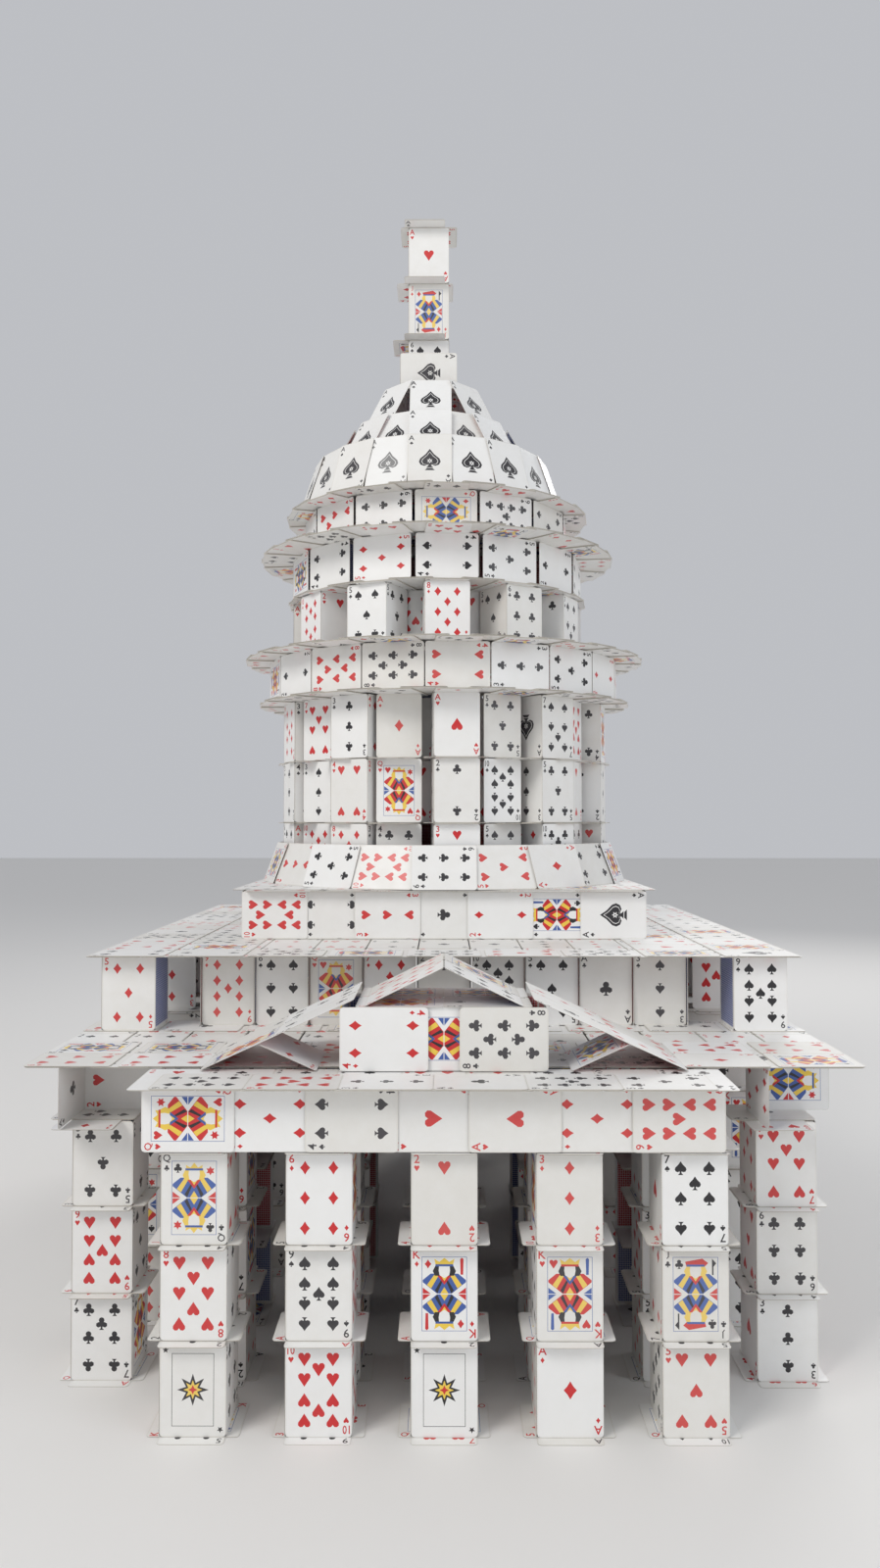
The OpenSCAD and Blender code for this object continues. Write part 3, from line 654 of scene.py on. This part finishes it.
mezzanine = ["2H", "4C", "9D", "3S", "JD", "6H", "QD"]
lay_cards("mezzanine_cells", mezzanine, beyond_the_wing, front_row, only=low_cards)


# Roofs over the portico and the wings: one layer of cards along the depth, one across it.
for roof in ("portico_roof", "wing_roof"):
    lay_cards(roof + "_lower", only=low_cards)
    lay_cards(roof + "_upper")


# Attic and pediment: a low box under two pairs of sloping cards, with a small gable on top,
# all of it only leaning.
attic_front = 10 * mm
lay_cards("attic_box", ["4D", "KS", "8C"], depth=attic_front)
for slope in ("attic_flats", "pediment_lower_slopes", "pediment_upper_slopes", "pediment_gable"):
    lay_cards(slope)
lay_cards("pediment_props", ["3C", "JD"])


# Upper storey: walls of upright cards with a fin in every joint and box columns at the
# corners, under the main roof.
upper_front = ["9D", "6S", "QH", "7D", "2C", "10S", "5S", "AC", "3S"]
wall_front = 5 * mm
upper_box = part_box("upper_storey_walls")
upper_side = upper_box[1][0] - 5 * mm
gap_ends = upper_box[0][1] + 0.15


def beside_the_gap(middle):
    """The first side cards show their faces through the gap beside the corner columns."""
    by_the_gap = middle.y < gap_ends and abs(middle.x) > upper_side
    return Vector((2 * middle.x, middle.y, 0)) if by_the_gap else None


lay_cards("upper_storey_walls", upper_front, beside_the_gap, wall_front)
lay_cards("upper_storey_cells", ["5D", "9S"], depth=wall_front, only=low_cards)
lay_cards("main_roof_lower", only=low_cards)
lay_cards("main_roof_upper")


# Plinth: four lapped walls of cards on their long edges, a two-layer roof, and a skirt of
# cards that lean in around the foot of the colonnade.
lay_cards("plinth_walls", ["10H", "4S", "3H", "AC", "2D", "KS", "AS"], depth=wall_front)
lay_cards("plinth_cells", only=low_cards)
lay_cards("plinth_roof_lower", only=low_cards)
lay_cards("plinth_roof_upper")
leaning_out = 0.8
lay_cards("plinth_skirt", ["3H", "5C", "10H", "6C", "5H", "AD", "4C"], facing=leaning_out)


# Colonnade: ten box columns around the tower, three storeys, with a turned panel and a
# panel set back in every bay, and flats between the storeys.
column_front = 0.95
lay_cards("colonnade_columns_storey_1", ["6S", "8D", "3H", "10C", "2S"], facing=column_front)
lay_cards("colonnade_columns_storey_2", ["3C", "4H", "2C", "5C", "9S"], facing=column_front)
lay_cards("colonnade_columns_storey_3", ["9D", "3C", "AH", "7S", "8S"], facing=column_front)
panels = ["7H", "KC", "AD", "3D", "2S", "5C", "9C", "9H"]
panels += ["3S", "6H", "QH", "5H", "4D", "10S", "8C", "2H"]
panels += ["10D", "4C", "5S", "7C"]
lay_cards("colonnade_panels", panels, facing=column_front)
lay_cards("colonnade_flats_lower", face_down=True)
lay_cards("colonnade_flats_upper")


# Rings and bands: flat rings of cards that point at the axis, two layers each, with low
# bands of standing cards between them.
for ring in (1, 2, 3, 4, 5):
    lay_cards(f"ring_{ring}_lower", face_down=True)
    lay_cards(f"ring_{ring}_upper")
band_front = 0.9
lay_cards("band_1", ["JH", "2S", "8H", "8C", "4H", "3C", "5C", "2D", "KH"], facing=band_front)
band_2 = ["10D", "QD", "3H", "5S", "9H", "8D", "2H", "5C", "6C", "7S"]
lay_cards("band_2", band_2, facing=band_front)
lay_cards("band_3", ["KD", "4C", "5D", "4S", "5C", "2C", "9D", "2S"], facing=band_front)
lay_cards("band_4", ["7H", "6C", "QD", "9C", "5S", "2H"], facing=band_front)


# Dome: three rows of leaning cards, every one an ace of spades, around a hidden core.
aces = ["AS", "AS", "faded AS"]
lay_cards("dome_row_1", aces, only=["AS"], facing=leaning_out, settled=True)
lay_cards("dome_row_2", only=["AS"], settled=True)
lay_cards("dome_row_3", only=["AS"], settled=True)
lay_cards("dome_core", only=["KH", "9D", "QD", "7H"])
lay_cards("dome_flats_lower", face_down=True)
lay_cards("dome_flats_upper")


# Lantern and spire: a box of four aces on their long edges around the foot of a three-storey
# box column.
lay_cards("lantern_box", only=["AS"], settled=True)
lay_cards("spire_cells", ["AH", "JD", "6S"])


# Stage: a wide pale floor under a grey sky, lit by three soft lamps. None of it is part of
# the building.
def stage_finish(name, colour):
    """Matt paint for the floor."""
    material = bpy.data.materials.new(name)
    material.use_nodes = True
    shader = material.node_tree.nodes["Principled BSDF"]
    shader.inputs["Base Color"].default_value = (*colour, 1)
    shader.inputs["Roughness"].default_value = 0.8
    return material


floor_size = 30.0
under_the_cards = 0.1 * mm
bm = bmesh.new()
bmesh.ops.create_grid(bm, x_segments=1, y_segments=1, size=floor_size / 2)
bmesh.ops.translate(bm, verts=bm.verts, vec=(0, 0, cad_box[0][2] - under_the_cards))
floor_mesh = bpy.data.meshes.new("floor")
bm.to_mesh(floor_mesh)
bm.free()
floor_mesh.materials.append(stage_finish("floor", (0.80, 0.79, 0.77)))
floor = bpy.data.objects.new("floor", floor_mesh)
scene.collection.objects.link(floor)

sky_colour, sky_strength = (0.93, 0.95, 1.0), 0.55
sky = bpy.data.worlds.new("studio")
sky.use_nodes = True
sky.node_tree.nodes["Background"].inputs["Color"].default_value = (*sky_colour, 1)
sky.node_tree.nodes["Background"].inputs["Strength"].default_value = sky_strength
scene.world = sky


def softbox(name, place, aim, size, watts, colour):
    """A square soft lamp at its place, turned towards its aim."""
    lamp = bpy.data.lights.new(name, "AREA")
    lamp.shape = "SQUARE"
    lamp.size = size
    lamp.energy = watts
    lamp.color = colour
    holder = bpy.data.objects.new(name, lamp)
    holder.location = place
    holder.rotation_euler = (Vector(aim) - Vector(place)).to_track_quat("-Z", "Y").to_euler()
    scene.collection.objects.link(holder)


half_way_up = (0, 0, 0.7)
softbox("key", (-2.2, -2.6, 3.0), half_way_up, 1.6, 76, (1.0, 0.97, 0.93))
softbox("fill", (2.8, -2.2, 1.6), half_way_up, 2.0, 28, (0.92, 0.96, 1.0))
softbox("rim", (1.5, 3.0, 2.6), half_way_up, 1.6, 34, (1.0, 0.98, 0.95))
